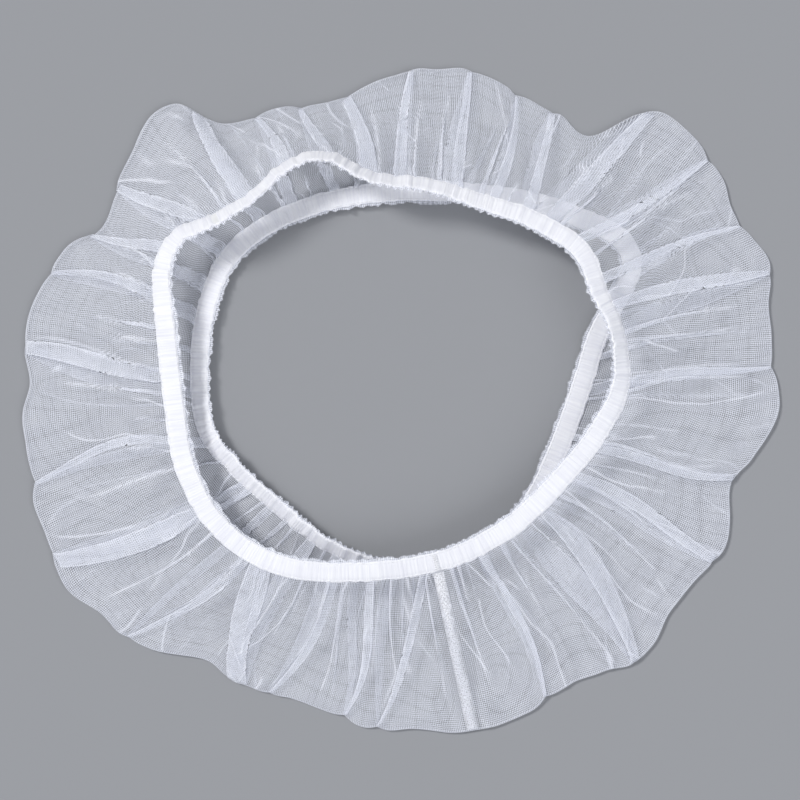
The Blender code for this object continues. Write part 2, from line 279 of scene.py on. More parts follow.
def radius_by_angle(loop, angles, *columns):
    """The loop's distance from the middle, and its other columns, at each compass angle."""
    own_angles = np.arctan2(loop[:, 1], loop[:, 0])
    radius = np.interp(angles, own_angles, np.hypot(loop[:, 0], loop[:, 1]), period=TURN)
    others = [np.interp(angles, own_angles, column, period=TURN) for column in columns]
    return (radius, *others)


def wander(positions, period, wavelength, rng):
    """Smooth random values from -1 to 1 along a closed run, changing over about a wavelength."""
    count = max(4, round(period / wavelength))
    knots = rng.uniform(-1, 1, count)
    place = positions / period * count
    low = np.floor(place).astype(int)
    share = smooth_step(place - low)
    return knots[low % count] * (1 - share) + knots[(low + 1) % count] * share


def read_along(travel, stations, run, period=None):
    """A run of vectors, known at its stations, read at other distances along it."""
    return np.column_stack([np.interp(travel, stations, axis, period=period) for axis in run.T])


class Band:
    """A band's centreline and section frames at BAND_STATIONS compass angles, seam first."""

    def __init__(self, route, rests_on_table):
        loop = rounded_loop(route)
        angles = STATION_ANGLES
        radius, *rest = radius_by_angle(loop, angles, *loop.T[2:])
        lean = np.radians(np.maximum(rest[-1], 0))
        if rests_on_table:
            edge_height = CASING_HALF * np.cos(lean) + NET_EXIT * np.sin(lean)
        else:
            edge_height = rest[0]
        flat = np.column_stack([radius * np.cos(angles), radius * np.sin(angles), 0 * angles])
        self.along = unit(np.roll(flat, -1, axis=0) - np.roll(flat, 1, axis=0))
        outward = np.cross(self.along, UP)
        self.crumple = smooth_step(lean / CRUMPLED_LEAN)
        sine = np.sin(lean)[:, None]
        self.width = outward * np.cos(lean)[:, None] - UP * sine
        self.normal = np.cross(self.width, self.along)
        self.centre = flat + UP * (edge_height[:, None] + CASING_OUTER * sine)
        steps = np.linalg.norm(np.roll(self.centre, -1, axis=0) - self.centre, axis=1)
        self.length = steps.sum()
        self.travel = np.cumsum(steps) - steps
        folds = wander(self.travel, self.length, CRUMPLE_LENGTH, default_rng(17))
        self.centre = self.centre + self.normal * (CRUMPLE_HEIGHT * self.crumple * folds)[:, None]

    def points(self, across, height):
        """Where (across, height) lies at every station. Both may vary from station to station."""
        across = np.broadcast_to(across, BAND_STATIONS)[:, None]
        height = np.broadcast_to(height, BAND_STATIONS)[:, None]
        return self.centre + self.width * across + self.normal * height

    def frames_at(self, travel):
        """Centres, width, normal and along directions at distances along the band."""
        runs = (self.centre, self.width, self.normal, self.along)
        centre, *axes = [read_along(travel, self.travel, run, self.length) for run in runs]
        return (centre, *[unit(axis) for axis in axes])

    def wave(self, wavelength, jitter, rng):
        """A ripple along the band of about the given wavelength, from -1 to 1, that closes on itself."""
        pace = 1 + jitter * wander(self.travel, self.length, 6 * wavelength, rng)
        phase = np.cumsum(pace)
        return np.sin(phase / phase[-1] * round(self.length / wavelength) * TURN)


# ---- mesh building


def mesh_object(name, points, face_groups, material, uv=None):
    """A smooth mesh object from numpy arrays. Each face group is an (n, corners) array; UVs, if
    given, belong to the first group's corners."""
    if isinstance(face_groups, np.ndarray):
        face_groups = [face_groups]
    mesh = bpy.data.meshes.new(name)
    mesh.vertices.add(len(points))
    mesh.vertices.foreach_set("co", np.asarray(points, np.float32).ravel())
    corners = np.concatenate([group.ravel() for group in face_groups])
    sizes = np.concatenate([np.full(len(group), group.shape[1]) for group in face_groups])
    mesh.loops.add(len(corners))
    mesh.loops.foreach_set("vertex_index", corners.astype(np.int32))
    mesh.polygons.add(len(sizes))
    mesh.polygons.foreach_set("loop_start", (np.cumsum(sizes) - sizes).astype(np.int32))
    if uv is not None:
        layer = mesh.uv_layers.new(name="cloth")
        layer.data.foreach_set("uv", np.asarray(uv, np.float32).ravel())
    mesh.update(calc_edges=True)
    mesh.shade_smooth()
    mesh.materials.append(material)
    obj = bpy.data.objects.new(name, mesh)
    bpy.context.scene.collection.objects.link(obj)
    return obj


def grid_faces(rows, columns, close_rows=False, close_columns=False):
    """Quads of a grid of points stored row by row."""
    row = np.arange(rows if close_rows else rows - 1)
    column = np.arange(columns if close_columns else columns - 1)
    row, column = np.meshgrid(row, column, indexing="ij")
    next_row = (row + 1) % rows
    next_column = (column + 1) % columns
    corners = [
        row * columns + column,
        row * columns + next_column,
        next_row * columns + next_column,
        next_row * columns + column,
    ]
    return np.stack([corner.ravel() for corner in corners], axis=1)


def tube_faces(rings, sides):
    """Faces of a closed tube stored ring by ring: quads round it, and one face at each end."""
    around = np.arange(sides)
    ends = np.array([around[::-1], around + (rings - 1) * sides])
    return grid_faces(rings, sides, close_columns=True), ends


def thread_tube(path, side, radius):
    """Points and faces of a thread along a path, closed at both ends. Side is any direction that is
    never along the path."""
    ahead = unit(np.gradient(path, axis=0))
    side = np.broadcast_to(side, path.shape)
    first = unit(side - (side * ahead).sum(axis=1, keepdims=True) * ahead)
    second = np.cross(ahead, first)
    turn = np.arange(THREAD_SIDES) * TURN / THREAD_SIDES
    rings = path[:, None] + radius * (
        first[:, None] * np.cos(turn)[None, :, None] + second[:, None] * np.sin(turn)[None, :, None]
    )
    return rings.reshape(-1, 3), *tube_faces(len(path), THREAD_SIDES)


def joined(parts):
    """One set of points and face groups from several."""
    points, quads, ends, used = [], [], [], 0
    for part_points, part_quads, part_ends in parts:
        points.append(part_points)
        quads.append(part_quads + used)
        ends.append(part_ends + used)
        used += len(part_points)
    return np.concatenate(points), [np.concatenate(quads), np.concatenate(ends)]


# ---- the net


class Net:
    """The gathered sleeve. A point of the cloth is its girth (metres round from the seam) and its
    row: 0 at the upper band, 1 at the outer fold, 2 at the lower band."""

    def __init__(self, top, bottom):
        self.angles = STATION_ANGLES
        self.top_reach, self.top_height = self.band_edge(top)
        self.bottom_reach, self.bottom_height = self.band_edge(bottom)
        (self.fold_reach,) = radius_by_angle(rounded_loop(FOLD_OUTLINE), self.angles)
        top_run = self.fold_reach - self.top_reach
        bottom_run = self.fold_reach - self.bottom_reach
        self.fold_depth = NET_DEPTH * top_run / (top_run + bottom_run)
        self.lengths = [self.loop_length(r) for r in (self.top_reach, self.fold_reach, self.bottom_reach)]
        self.freedom = [np.clip(run / USUAL_RUN, 0, 1) ** 2 for run in (top_run, bottom_run)]
        self.pleats = [
            self.side_pleats(0, UPPER_PLEATS, default_rng(7)),
            self.side_pleats(2, LOWER_PLEATS, default_rng(8)),
        ]
        self.girth = np.linspace(0, NET_GIRTH, FINE_COLUMNS)
        self.ripple_phase = self.make_ripple_phase()
        lean = wander(self.girth, NET_GIRTH, FIELD_LEAN_LENGTH, default_rng(29))
        self.field_lean = FIELD_LEAN * lean
        self.lobes = self.make_lobes()

    def band_edge(self, band):
        """How far out, and how high, the net leaves the band's hem."""
        points = band.points(CASING_OUTER - HEM_GRIP, 0)
        return radius_by_angle(points, self.angles, points[:, 2])

    def loop_length(self, reach):
        points = np.column_stack([reach * np.cos(self.angles), reach * np.sin(self.angles)])
        return np.linalg.norm(np.roll(points, -1, axis=0) - points, axis=1).sum()

    def side_pleats(self, band, short_count, rng):
        """The pleats from one band (0 upper, 2 lower) towards the fold, in order round the sleeve, as
        columns: place and size at the band, place and size at the fold, the share of the way to the
        fold where it ends, how much deeper it is half way, its bow and which way it lies."""
        rows = []
        for row in THROUGH_PLEATS:
            angles, sizes, (bulge, lie, bow) = row[:3], row[3:6], row[6:]
            places = [(math.radians(angle) - SEAM_ANGLE) / TURN % 1 for angle in angles]
            ends = (places[band], sizes[band] * MM, places[1], sizes[1] * MM)
            rows.append((*ends, 1.0, bulge * MM, bow * MM / self.lengths[1], lie))
        for index in range(short_count):
            place = (index + 0.5 + rng.uniform(-SHORT_SPREAD, SHORT_SPREAD)) / short_count
            freedom = self.freedom[band // 2][int(place * BAND_STATIONS)]
            size = rng.uniform(*SHORT_SIZES) * MM
            end = rng.choice(SHORT_ENDS) + rng.uniform(-SHORT_END_SPREAD, SHORT_END_SPREAD)
            slant = rng.uniform(-SLANT, SLANT) * freedom
            bow = rng.uniform(-SHORT_BOW, SHORT_BOW) * SLANT * freedom
            rows.append((place, size, place + slant, 0, end, 0, bow, rng.choice([-1, 1])))
        return np.array(sorted(rows)).T

    def make_ripple_phase(self):
        """The ripples' phase along the girth: RIPPLES whole waves, some wider and some narrower."""
        drift = wander(self.girth, NET_GIRTH, RIPPLE_DRIFT, default_rng(3))
        pace = 1 + RIPPLE_VARIETY * drift
        travelled = running_total(pace)
        return travelled / travelled[-1] * RIPPLES * TURN

    def make_lobes(self):
        """How far the outer fold stands out of or in from its smooth outline, by place in the cloth."""
        offset = LOBE_WANDER * wander(self.girth, NET_GIRTH, LOBE_LENGTH, default_rng(11))
        sizes, centres, _ = self.row_pleats(1, self.lengths[1], 1)
        for size, centre in zip(sizes, centres):
            if size > FLAT_PLEAT / 2:
                for edge in (centre - size / 2, centre + size / 2):
                    offset -= LOBE_NOTCH * np.exp(-(((self.girth - edge) / LOBE_ROUNDING) ** 2))
        return offset

    def row_pleats(self, row, length, slack):
        """One row's pleats: size, centre in the cloth, and lie. The row lies length metres long, and
        slack is how much shorter the ripples make its cloth."""
        columns = self.pleats[0 if row < 1 else 1]
        band_place, band_size, fold_place, fold_size, end, bulge, bow, lie = columns
        to_fold = row if row < 1 else 2 - row
        halfway = math.sin(math.pi * to_fold)
        taper = np.maximum(0, 1 - to_fold / end) ** SHORT_TAPER
        sizes = band_size * taper + fold_size * to_fold + bulge * halfway
        places = band_place * (1 - to_fold) + fold_place * to_fold + bow * halfway

        through = fold_size > 0
        before = np.concatenate([[SEAM_ROOM], places[through] + PLEAT_ROOM])
        after = np.concatenate([places[through] - PLEAT_ROOM, [1 - SEAM_ROOM]])
        gap = np.cumsum(through)
        within = np.clip(places, before[gap], np.maximum(before, after)[gap])
        places = np.maximum.accumulate(np.where(through, places, within))

        wanted = (NET_GIRTH - length / slack) / 2
        for _ in range(FITTING_ROUNDS):
            folded = sizes * np.minimum(1, sizes / FLAT_PLEAT)
            sizes = sizes * wanted / folded.sum()
        folded = sizes * np.minimum(1, sizes / FLAT_PLEAT)
        centres = places * length / slack + 2 * np.cumsum(folded) - folded
        return sizes, centres, lie

    def fold_row(self, row):
        """The cloth's lie along one row: share of the way round, layers under it, ripple, how near a
        crease is and how sharply the cloth turns."""
        girth = self.girth
        step = girth[1]
        near_length, far_length = self.lengths[:2] if row < 1 else self.lengths[1:]
        share = row if row < 1 else row - 1
        length = near_length * (1 - share) + far_length * share
        from_band = min(row, 2 - row) * NET_DEPTH / 2
        rippled = (1 - length / NET_GIRTH) * RIPPLE_SHARE * math.exp(-from_band / RIPPLE_REACH)
        ripple_swing = 2 * math.sqrt(rippled)
        ripple_slopes = np.cos(ripple_swing * np.sin(self.ripple_phase))

        back = np.zeros_like(girth)
        layers = np.zeros_like(girth)
        turning = np.zeros_like(girth)
        crease = np.zeros_like(girth)
        for size, centre, lie in zip(*self.row_pleats(row, length, ripple_slopes.mean())):
            softness = np.clip(size / TURN_PARTS, SHARPEST_TURN, TURN_SOFTNESS)
            strength = min(1, size / FLAT_PLEAT)
            low, high = centre - size / 2, centre + size / 2
            margin = SETTLE_RUN + 4 * TURN_SOFTNESS
            near = slice(max(0, int((low - margin) / step)), int((high + margin) / step))
            here = girth[near]
            rising = np.tanh((here - low) / softness)
            falling = np.tanh((here - high) / softness)
            back[near] = np.maximum(back[near], strength * (rising - falling) / 2)
            turning[near] += strength * ((1 - rising**2) + (1 - falling**2))
            for edge in (low, high):
                crease[near] += strength * np.exp(-(((here - edge) / CREASE_WIDTH) ** 2))
            past = (here - centre) * lie
            half = size / 2 + softness
            climb = smooth_step((past + half) / (2 * half))
            settle = 1 - smooth_step((past - half) / SETTLE_RUN)
            layers[near] += 2 * strength * climb * settle
        travelled = running_total((1 - 2 * back) * ripple_slopes)
        share = travelled / travelled[-1]
        pace = np.gradient(self.ripple_phase, girth)
        ripple = -ripple_swing * np.cos(self.ripple_phase) / pace
        return share, layers, ripple, crease, turning

    def place(self, row, girth, share, layers, ripple):
        """Where points of the cloth lie. Everything but the row is an array."""
        angle = SEAM_ANGLE + TURN * share

        def read(values):
            return np.interp(angle, self.angles, values, period=TURN)

        fold_reach = read(self.fold_reach) + np.interp(girth, self.girth, self.lobes)
        upper = row < 1
        band_reach = read(self.top_reach if upper else self.bottom_reach)
        band_height = read(self.top_height if upper else self.bottom_height)
        depth = read(self.fold_depth) if upper else NET_DEPTH - read(self.fold_depth)
        to_fold = row if upper else 2 - row
        from_fold = depth * (1 - to_fold)
        run = np.sqrt(from_fold**2 + FOLD_RADIUS**2) - FOLD_RADIUS
        full_run = np.sqrt(depth**2 + FOLD_RADIUS**2) - FOLD_RADIUS
        reach = fold_reach - (fold_reach - band_reach) * run / full_run
        signed = from_fold if upper else -from_fold
        over = 0.5 * (1 + np.tanh(signed / (FOLD_ROUNDING * FOLD_RADIUS)))
        upper_z = FOLD_TOP
        lower_z = FLOOR_GAP
        if upper:
            upper_z = FOLD_TOP + (band_height - FOLD_TOP) * (1 - to_fold) ** UPPER_SAG
        else:
            drop = smooth_step(to_fold / LOWER_DROP)
            lower_z = FLOOR_GAP + (band_height - FLOOR_GAP) * (1 - drop)
        from_band = to_fold * depth
        freed = smooth_step(from_band / RIPPLE_START)
        z = upper_z * over + lower_z * (1 - over)
        z = z + layers * LAYER_STEP * (PRESSED_LAYERS + (1 - PRESSED_LAYERS) * freed)
        ripple = ripple * (PRESSED_RIPPLES + (1 - PRESSED_RIPPLES) * freed)
        z = z + ripple * (1.0 if upper else LOWER_RIPPLES)
        z = np.maximum(z, LEAST_GAP)
        angle = angle + self.sway(row, angle) / reach
        return np.column_stack([reach * np.cos(angle), reach * np.sin(angle), z])

    def sway(self, row, angle):
        """A slow sideways drift of the lines between the bands and the fold."""
        along = (angle - SEAM_ANGLE) % TURN
        free_of_seam = smooth_step(np.minimum(along, TURN - along) / SEAM_CALM)
        rng = default_rng(5 if row < 1 else 6)
        to_fold = row if row < 1 else 2 - row
        bow = wander(along, TURN, BOW_ANGLE, rng) * math.sin(math.pi * to_fold)
        curl = wander(along, TURN, CURL_ANGLE, rng) * math.sin(TURN * to_fold)
        freedom = np.interp(angle, self.angles, self.freedom[0 if row < 1 else 1], period=TURN)
        return free_of_seam * freedom * SWAY * (bow + CURL_SHARE * curl)

    def crumple_field(self, girth, depth):
        """A smooth random value over the cloth. Where it is nought the net is softly creased."""
        leant = girth + np.interp(girth, self.girth, self.field_lean) * depth
        broad = smooth_field(leant, depth, FIELD_CELL, FIELD_ROWS, default_rng(23))
        small = smooth_field(leant, depth, FIELD_CELL / 2, 2 * FIELD_ROWS, default_rng(24))
        return broad + FIELD_DETAIL * small

    def crumple_strength(self, girth, depth):
        """From 1 where a soft crease would run down the sleeve to 0 where it would run round it."""
        here = self.crumple_field(girth, depth)
        across = np.abs(self.crumple_field(girth + FIELD_STEP, depth) - here)
        down = np.abs(self.crumple_field(girth, depth + FIELD_STEP) - here)
        return smooth_step((across - down) / (FIELD_STEP * FIELD_STEEP))

    def seam_line(self, rows):
        """Points down the sleeve along the seam, where the girth is nought."""
        nought = np.zeros(1)
        return np.array([self.place(row, nought, nought, nought, nought)[0] for row in rows])


def smooth_field(girth, depth, cell, rows, rng):
    """Smooth random values from -1 to 1 over the cloth, closed round the sleeve."""
    columns = round(NET_GIRTH / cell)
    knots = rng.uniform(-1, 1, (columns, rows + 1))
    across = girth / NET_GIRTH * columns
    down = np.clip(depth / NET_DEPTH, 0, 0.999) * rows
    left = np.floor(across).astype(int)
    above = np.floor(down).astype(int)
    share = smooth_step(across - left)
    upper = knots[left % columns, above] * (1 - share) + knots[(left + 1) % columns, above] * share
    lower = knots[left % columns, above + 1] * (1 - share) + knots[(left + 1) % columns, above + 1] * share
    share = smooth_step(down - above)
    return upper * (1 - share) + lower * share


def net_rows():
    """The mesh's rows: close together at the bands and at the fold, few between."""
    fine = np.linspace(0, 1, ROW_STEPS)
    density = np.ones(ROW_STEPS)
    for (crowding, reach), distance in ((ROWS_AT_BAND, fine), (ROWS_AT_FOLD, 1 - fine)):
        density += crowding * np.exp(-distance / reach)
    travelled = running_total(density)
    half = np.interp(np.linspace(0, travelled[-1], HALF_ROWS), travelled, fine)
    return np.concatenate([half, 2 - half[-2::-1]])


def make_net(net, material):
    rows = net_rows()
    points, uv, creases, fields, strengths = [], [], [], [], []
    for row in rows:
        *lie, turning = net.fold_row(row)
        travelled = running_total(1 + TURN_DENSITY * np.minimum(turning, 1))
        picks = np.linspace(0, travelled[-1], NET_COLUMNS, endpoint=False)
        girth = np.interp(picks, travelled, net.girth)
        picked = [np.interp(girth, net.girth, values) for values in lie]
        at = np.interp(SEAM_ANGLE + TURN * picked[0], net.angles, net.fold_depth, period=TURN)
        depth = at * row if row < 1 else at + (NET_DEPTH - at) * (row - 1)
        field = net.crumple_field(girth, depth)
        free_of_seam = smooth_step(np.minimum(girth, NET_GIRTH - girth) / SOFT_SEAM_ROOM)
        strength = net.crumple_strength(girth, depth) * free_of_seam
        ridge = SOFT_RIDGE * strength * np.exp(-((field / SOFT_RIDGE_REACH) ** 2))
        points.append(net.place(row, girth, picked[0], picked[1], picked[2] + ridge))
        uv.append(np.column_stack([girth, depth]))
        fields.append(field)
        strengths.append(strength)
        edge = math.exp(-(((row - 1) * NET_DEPTH / 2 / FOLD_RADIUS) ** 2))
        creases.append(np.clip(picked[3] + edge, 0, 1))
    faces = grid_faces(len(rows), NET_COLUMNS, close_columns=True)
    uv_corners = np.concatenate(uv)[faces]
    closing = (faces % NET_COLUMNS == 0) & ((faces % NET_COLUMNS).max(axis=1) > 1)[:, None]
    uv_corners[..., 0] += closing * NET_GIRTH
    obj = mesh_object("gathered_net", np.concatenate(points), faces, material, uv_corners)
    for name, values in (("crease", creases), ("crumple", fields), ("crumple_strength", strengths)):
        attribute = obj.data.attributes.new(name, "FLOAT", "POINT")
        attribute.data.foreach_set("value", np.concatenate(values).astype(np.float32))
    return obj


# ---- bands

# The casing's half section: distance across the band, and half thickness there, in millimetres.
CASING_SECTION = [
    (-6.8, 0.30), (-6.5, 0.75), (-5.5, 0.98), (-4.6, 1.12), (-3.2, 1.20),
    (-1.6, 1.16), (0.0, 1.20), (1.6, 1.16), (3.2, 1.20), (4.9, 1.20),
    (6.3, 1.02), (7.3, 0.70), (8.0, 0.48), (8.7, 0.62), (9.3, 0.28),
]
GATHER_HEIGHT = 0.32 * MM
GATHER_PITCH = 2.4 * MM
BROAD_PITCH = 3.1 * GATHER_PITCH
GATHER_SHARES = (0.65, 0.35)  # of the fine and the broad gathers
GATHER_DEPTH = (0.55, 0.45)  # the usual depth, and how much it varies
GATHER_DRIFT = 30 * MM
BULGE_HEIGHT = 1.3 * MM  # of the crumpled parts' puffs
BULGE_LENGTH = 4.5 * MM
FULL_HALF = 0.9  # half thickness in millimetres from which the gathers have their full height
EDGE_WOBBLE = 0.55 * MM
EDGE_LENGTH = 4 * MM
EDGE_SHARES = (0.25, 0.9)  # of the gathers and of the free wander in the edges' wobble
CRUMPLED_WOBBLE = 1.6  # how much more the edges wobble where the band is crumpled


def make_casing(name, band, material, seed):
    """The net folded double round the elastic: a flat tube with gathers across it."""
    rng = default_rng(seed)
    fine = band.wave(GATHER_PITCH, 0.6, rng)
    broad = band.wave(BROAD_PITCH, 0.5, rng)
    depth = GATHER_DEPTH[0] + GATHER_DEPTH[1] * wander(band.travel, band.length, GATHER_DRIFT, rng)
    wobble = EDGE_SHARES[0] * fine
    wobble += EDGE_SHARES[1] * wander(band.travel, band.length, EDGE_LENGTH, rng)
    wobble *= 1 + CRUMPLED_WOBBLE * band.crumple
    rings = []
    sides = [(1, CASING_SECTION), (-1, CASING_SECTION[::-1])]
    for side, section in sides:
        bulge = np.maximum(0, wander(band.travel, band.length, BULGE_LENGTH, rng)) * band.crumple
        shifted = band.wave(GATHER_PITCH, 0.6, default_rng(seed + 1 + (side > 0)))
        for across, half in section:
            share = (across * MM - CASING_INNER) / (CASING_OUTER - CASING_INNER)
            gather = GATHER_SHARES[0] * (fine * (1 - share) + shifted * share)
            gather += GATHER_SHARES[1] * broad
            swell = GATHER_HEIGHT * depth * gather + BULGE_HEIGHT * bulge
            edge = EDGE_WOBBLE * wobble * abs(2 * share - 1) ** 3
            height = half * MM + swell * min(1, half / FULL_HALF)
            rings.append(band.points(across * MM + edge, side * height))
    faces = grid_faces(len(rings), BAND_STATIONS, close_rows=True, close_columns=True)
    return mesh_object(name, np.concatenate(rings), faces, material, band_uv(band, faces))


def band_uv(band, faces):
    """A UV for each corner of a grid whose rows run along the band: metres along it, and the row."""
    column = faces % BAND_STATIONS
    closing = (column == 0) & (column.max(axis=1) > 1)[:, None]
    travel = np.append(band.travel, band.length)[column + closing * BAND_STATIONS]
    return np.stack([travel, faces // BAND_STATIONS * MM], axis=2)


# The frill's rows: distance across the band, how high it waves, in millimetres.
FRILL_ROWS = [(-5.9, 0.1), (-6.8, 0.4), (-7.6, 0.8), (-8.3, 1.1), (-8.9, 1.3)]
# The frill's large and small waves: their length, and their share of its height.
FRILL_WAVE = (6.5 * MM, 0.75)
FRILL_WAVELET = (2.9 * MM, 0.35)
# How its edge stands out and in: by how many millimetres, and over what length.
FRILL_REACHES = [(1.1, 5 * MM), (0.5, 2.2 * MM)]
FRILL_WAVELET_REACH = 0.25


def make_frill(name, band, material, seed):
    """The narrow ruffle of net that stands out along the band's inner edge."""
    rng = default_rng(seed)
    large = band.wave(FRILL_WAVE[0], 0.8, rng)
    small = band.wave(FRILL_WAVELET[0], 0.8, rng)
    reach = FRILL_WAVELET_REACH * small
    for amount, length in FRILL_REACHES:
        reach = reach + amount * wander(band.travel, band.length, length, rng)
    root, edge = FRILL_ROWS[0][0], FRILL_ROWS[-1][0]
    rows = []
    for across, height in FRILL_ROWS:
        share = (root - across) / (root - edge)
        lift = height * MM * (FRILL_WAVE[1] * large + FRILL_WAVELET[1] * small)
        rows.append(band.points((across - share * reach) * MM, lift))
    faces = grid_faces(len(rows), BAND_STATIONS, close_columns=True)
    return mesh_object(name, np.concatenate(rows), faces, material, band_uv(band, faces))


THREAD_SIDES = 6
STITCH_PITCH = 3.4 * MM
STITCH_LENGTH = 2.5 * MM
STITCH_RADIUS = 0.27 * MM
STITCH_STAND = 0.7  # radii from the cloth to a stitch's middle
STITCH_DIP = 1.3  # radii that its ends go down from there
HEM_STITCHES = (8.0 * MM, 0.5 * MM)  # across the band, and the casing's half thickness there
EDGE_STITCHES = (-5.6 * MM, 0.95 * MM)


def stitch_row(band, across, half):
    """Short stitches along both faces of a band. Each dips into the cloth at its ends."""
    count = round(band.length / STITCH_PITCH)
    centres, width, normal, along = band.frames_at(np.arange(count) * band.length / count)
    places = np.linspace(-0.5, 0.5, 6)
    lift = half + STITCH_RADIUS * (STITCH_STAND - STITCH_DIP * (2 * places) ** 4)
    parts = []
    for side in (1, -1):
        for index in range(count):
            path = (
                centres[index]
                + width[index] * across
                + along[index] * (places * STITCH_LENGTH)[:, None]
                + normal[index] * (side * lift)[:, None]
            )
            parts.append(thread_tube(path, width[index], STITCH_RADIUS))
    return joined(parts)


TACK_STITCHES = 14
TACK_WIDTH = 4.4 * MM
TACK_SPAN = 12 * MM
TACK_SLANT = 0.4 * MM
TACK_STAND = 0.45 * MM
TACK_DIP = 1.0 * MM
TACK_RADIUS = 0.4 * MM


def make_tack(name, band, material):
    """The bar tack where the seam meets the band: close stitches side by side."""
    middle = (CASING_INNER + CASING_OUTER) / 2
    places = np.linspace(-0.5, 0.5, 7)
    parts = []
    lift = CASING_HALF + TACK_STAND - TACK_DIP * (2 * places) ** 6
    for index in range(TACK_STITCHES):
        across = middle + TACK_SPAN * (index / (TACK_STITCHES - 1) - 0.5)
        slant = TACK_SLANT * (-1) ** index
        path = (
            band.centre[0]
            + band.width[0] * (across + slant * 2 * places)[:, None]
            + band.along[0] * (places * TACK_WIDTH)[:, None]
            + band.normal[0] * lift[:, None]
        )
        parts.append(thread_tube(path, band.normal[0], TACK_RADIUS))
    return mesh_object(name, *joined(parts), material)


def dress_band(side, band, materials, seed):
    """Everything that is sewn into or onto one band. Returns the pieces."""
    casing = make_casing(f"{side}_gathered_casing", band, materials["casing"], seed)
    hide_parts(f"{side}_casing")
    frill = make_frill(f"{side}_frill", band, materials["frill"], seed + 5)
    hem = mesh_object(f"{side}_hem_stitches", *stitch_row(band, *HEM_STITCHES), materials["thread"])
    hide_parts(f"{side}_hem_stitch")
    edge = mesh_object(f"{side}_edge_stitches", *stitch_row(band, *EDGE_STITCHES), materials["thread"])
    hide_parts(f"{side}_edge_stitch")
    tack = make_tack(f"{side}_bar_tack", band, materials["thread"])
    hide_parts(f"{side}_seam_tack")
    pieces = [casing, frill, hem, edge, tack]
    for piece in pieces:
        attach(piece, f"{side}_band")
    return pieces


# ---- the side seam

SEAM_HALF_WIDTH = 4.6 * MM
SEAM_INSET = 0.75 * MM  # from the net to the strip's middle
SEAM_HALF_THICKNESS = 0.3 * MM
SEAM_ENDS = (0.02, 1.98)  # net rows, just clear of the hems
SEAM_ROWS = 420
STRIP_STEPS = 500
# The strip's section: across and out of its face, as shares of its half width and half thickness.
STRIP_TOP = [(-1, -0.4), (-0.96, 0.6), (-0.6, 1), (0, 0.9), (0.6, 1), (0.96, 0.6), (1, -0.4)]
STRIP_SECTION = [*STRIP_TOP, (0, -0.9)]
STRIP_WAVES = [(0.09, 5 * MM), (0.5, 3 * MM)]  # of its width and its thickness: share and length
OVERLOCK_PITCH = 1.9 * MM
OVERLOCK_RADIUS = 0.3 * MM
OVERLOCK_STEPS = 10  # points to a stitch
LOOPERS = [(0, 1.0), (0.25, 0.62)]  # each thread's place in the stitch, and its share of the width
LOOPER_WIDTH = 0.95
LOOPER_SHARPNESS = 0.97  # 1 would be a plain zigzag
LOOPER_WAVE = 0.12 * MM
NEEDLE_LINES = (-1.3 * MM, 1.1 * MM)
NEEDLE_STAND = 1.6  # radii above the strip
NEEDLE_SWAY = 0.25 * MM
NEEDLE_WAVE = 0.2 * MM


class SeamRun:
    """The seam's line inside the sleeve, with the directions across it and out of its face."""

    def __init__(self, net):
        line = net.seam_line(np.linspace(*SEAM_ENDS, SEAM_ROWS))
        self.around = np.array([-math.sin(SEAM_ANGLE), math.cos(SEAM_ANGLE), 0.0])
        ahead = unit(np.gradient(line, axis=0))
        self.inward = unit(np.cross(self.around, ahead))
        self.line = line + self.inward * SEAM_INSET
        steps = np.linalg.norm(np.gradient(self.line, axis=0), axis=1)
        self.travel = running_total(steps)

    def points(self, travel, across, lift):
        line = read_along(travel, self.travel, self.line)
        inward = read_along(travel, self.travel, self.inward)
        return line + self.around * across[:, None] + unit(inward) * lift[:, None]


def make_seam_strip(run, material):
    """The two raw edges of net laid together, a little wavy along their sides."""
    rng = default_rng(31)
    travel = np.linspace(0, run.travel[-1], STRIP_STEPS)
    rings = []
    for across, lift in STRIP_SECTION:
        width, thickness = [1 + by * wander(travel, run.travel[-1], over, rng) for by, over in STRIP_WAVES]
        height = lift * SEAM_HALF_THICKNESS * thickness
        rings.append(run.points(travel, across * SEAM_HALF_WIDTH * width, height))
    points = np.stack(rings, axis=1).reshape(-1, 3)
    return mesh_object("overlocked_seam", points, tube_faces(STRIP_STEPS, len(STRIP_SECTION)), material)


def make_overlock(run, material):
    """The overlock's two looper threads, to and fro over the strip, and its two needle threads."""
    turns = round(run.travel[-1] / OVERLOCK_PITCH)
    place = np.linspace(0, turns, turns * OVERLOCK_STEPS)
    travel = place / turns * run.travel[-1]
    zigzag = np.arcsin(LOOPER_SHARPNESS * np.sin(place * TURN)) / (math.pi / 2)
    parts = []
    for shift, spread in LOOPERS:
        swing = np.roll(zigzag, round(OVERLOCK_STEPS * shift)) * spread * LOOPER_WIDTH
        lift = SEAM_HALF_THICKNESS + OVERLOCK_RADIUS + LOOPER_WAVE * np.cos(place * TURN)
        path = run.points(travel, swing * SEAM_HALF_WIDTH, lift)
        parts.append(thread_tube(path, UP + run.around * 0.01, OVERLOCK_RADIUS))
    for offset in NEEDLE_LINES:
        wave = offset + NEEDLE_SWAY * np.sin(place * TURN)
        lift = SEAM_HALF_THICKNESS + NEEDLE_STAND * OVERLOCK_RADIUS
        lift = lift + NEEDLE_WAVE * np.sin(2 * place * TURN)
        parts.append(thread_tube(run.points(travel, wave, lift), run.around, OVERLOCK_RADIUS))
    return mesh_object("overlock_threads", *joined(parts), material)


# ---- materials


